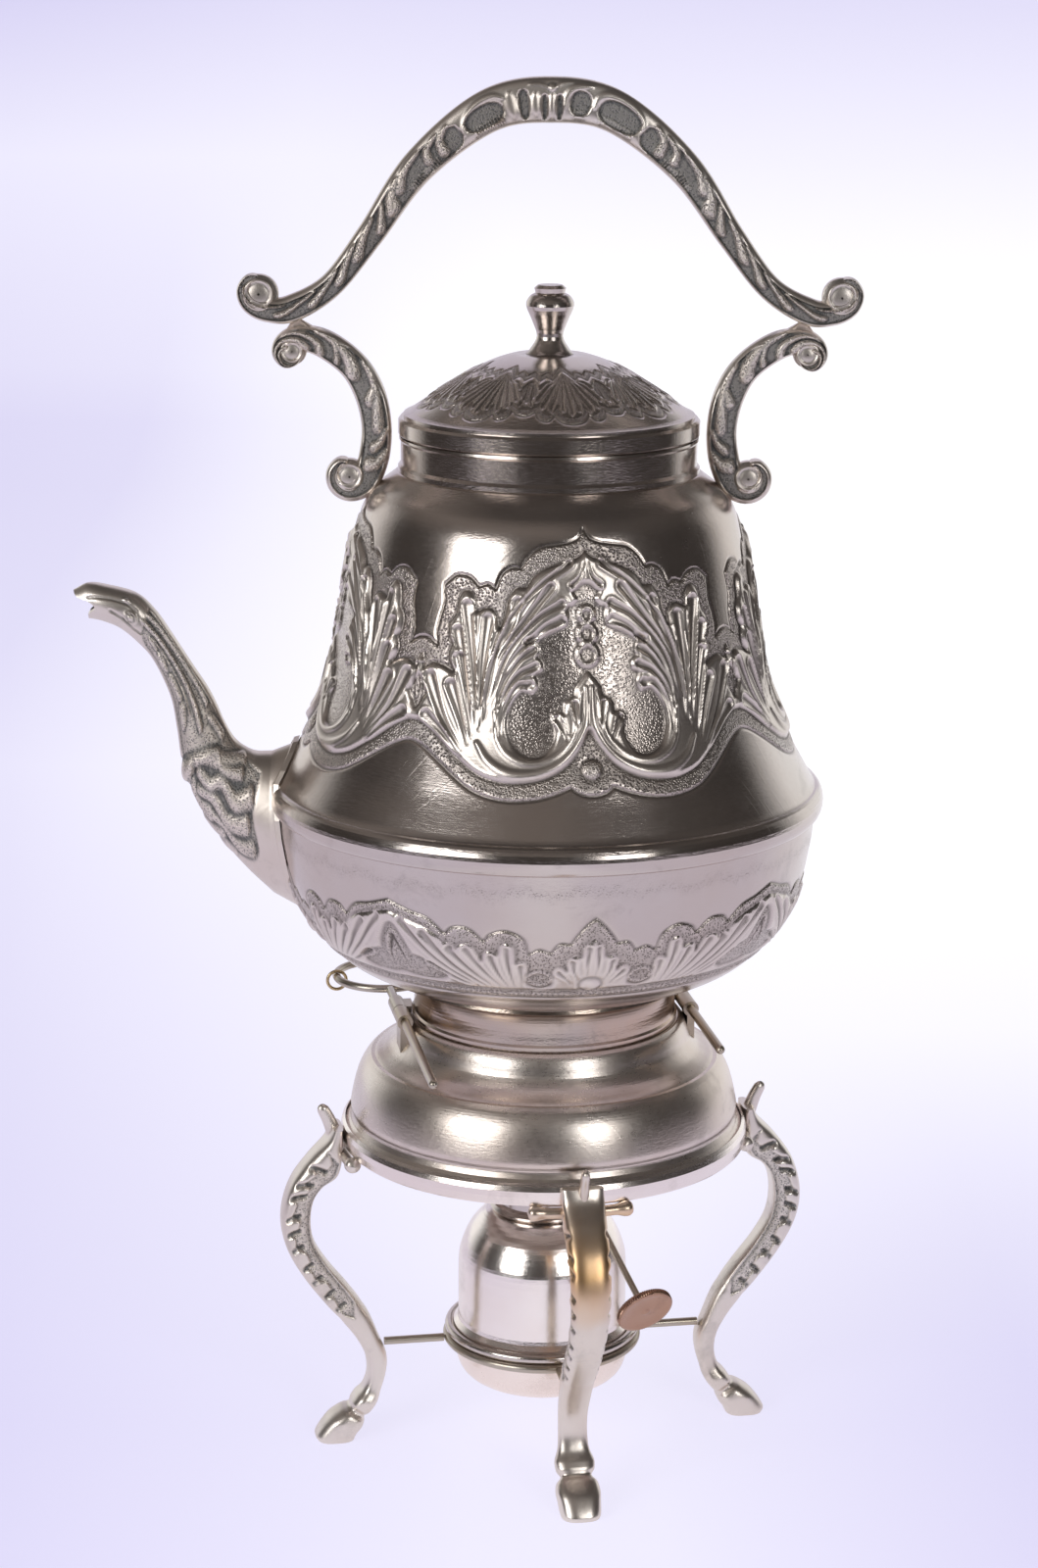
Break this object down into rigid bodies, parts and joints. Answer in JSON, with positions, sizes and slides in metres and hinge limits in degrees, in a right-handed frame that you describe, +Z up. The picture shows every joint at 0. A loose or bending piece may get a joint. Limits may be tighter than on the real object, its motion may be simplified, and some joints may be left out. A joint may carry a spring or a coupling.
{
  "type": "spirit kettle on stand",
  "caption": "Silver-plated tea kettle with high handle, duck-bill spout and hinged lid, pinned to a four-legged stand over a wick burner",
  "frame": {"origin": "on the stand's vertical middle line at table level", "axes": "+Z up; the handle and the spout lie in the XZ plane, the spout towards -X, the lid's hinge towards +Y; legs, pins and knuckles are turned 10 degrees from this plane"},
  "size_m": [0.2049, 0.1466, 0.3674],
  "materials": {
    "silver": "worn polish",
    "cast_silver": "cast, darkened in the hollows",
    "nickel": "dull",
    "copper": "worn copper",
    "brass": "satin",
    "wick": "woven cotton"
  },
  "bodies": {
    "stand": {"stand_top": "silver", "rim_band": "silver", "leg_front": "cast_silver", "leg_right": "cast_silver", "leg_back": "cast_silver", "leg_left": "cast_silver", "burner_ring": "nickel", "spoke_front": "nickel", "spoke_right": "nickel", "spoke_back": "nickel", "spoke_left": "nickel", "stand_knuckle_left": "nickel", "stand_knuckle_right": "nickel"},
    "kettle": {"upper_body": "silver", "seam_bead": "silver", "bowl": "silver", "foot_ring": "silver", "neck_ring": "silver", "spout": "cast_silver", "spout_flange": "cast_silver", "handle_arch": "cast_silver", "bracket_left": "cast_silver", "bracket_right": "cast_silver", "kettle_knuckle_left": "nickel", "kettle_knuckle_right": "nickel", "body_hinge_leaf": "nickel", "hinge_pin": "brass"},
    "lid": {"lid_dome": "silver", "lid_band": "silver", "finial": "silver", "finial_nut": "brass", "lid_hinge_leaf": "nickel"},
    "pin_with_bow_left": {"left_pin": "nickel", "left_bow": "nickel"},
    "link": {"chain_link": "brass"},
    "pin_with_bow_right": {"right_pin": "nickel", "right_bow": "nickel"},
    "burner": {"burner_bowl": "copper", "burner_shell": "silver", "burner_bead": "silver", "burner_collar": "silver", "knob_gland": "brass", "wick_tube": "brass"},
    "winder": {"knob_disc": "copper", "knob_shaft": "nickel", "feed_wheel": "brass"},
    "wick_body": {"wick": "wick"}
  },
  "joints": [
    {"name": "kettle_tilt", "type": "hinge", "parent": "stand", "child": "kettle", "pos_m": [-0.03831, -0.00675, 0.1211], "axis": [0.1736, -0.9848, 0], "range_deg": [0, 60]},
    {"name": "lid_hinge", "type": "hinge", "parent": "kettle", "child": "lid", "pos_m": [0, 0.0413, 0.2767], "axis": [-1, 0, 0], "range_deg": [0, 105]},
    {"name": "left_pin_slide", "type": "slide", "parent": "stand", "child": "pin_with_bow_left", "axis": [-0.1736, 0.9848, 0], "range_m": [0, 0.072]},
    {"name": "link_swing", "type": "hinge", "parent": "pin_with_bow_left", "child": "link", "pos_m": [-0.05733, 0.02624, 0.1211], "axis": [-0.1736, 0.9848, 0], "range_deg": [-60, 60]},
    {"name": "right_pin_slide", "type": "slide", "parent": "stand", "child": "pin_with_bow_right", "axis": [-0.1736, 0.9848, 0], "range_m": [0, 0.056]},
    {"name": "burner_lift", "type": "slide", "parent": "stand", "child": "burner", "axis": [0, 0, 1], "range_m": [0, 0.017]},
    {"name": "knob_turn", "type": "hinge", "parent": "burner", "child": "winder", "pos_m": [0.00691, 0.0034, 0.07558], "axis": [0.3824, -0.777, -0.5], "range_deg": [-132, 132]},
    {"name": "wick_slide", "type": "slide", "parent": "burner", "child": "wick_body", "axis": [0, 0, 1], "range_m": [-0.006, 0.006]}
  ],
  "couplings": [
    {"joint": "wick_slide", "follows": "knob_turn", "m_per_rad": -0.0026}
  ]
}
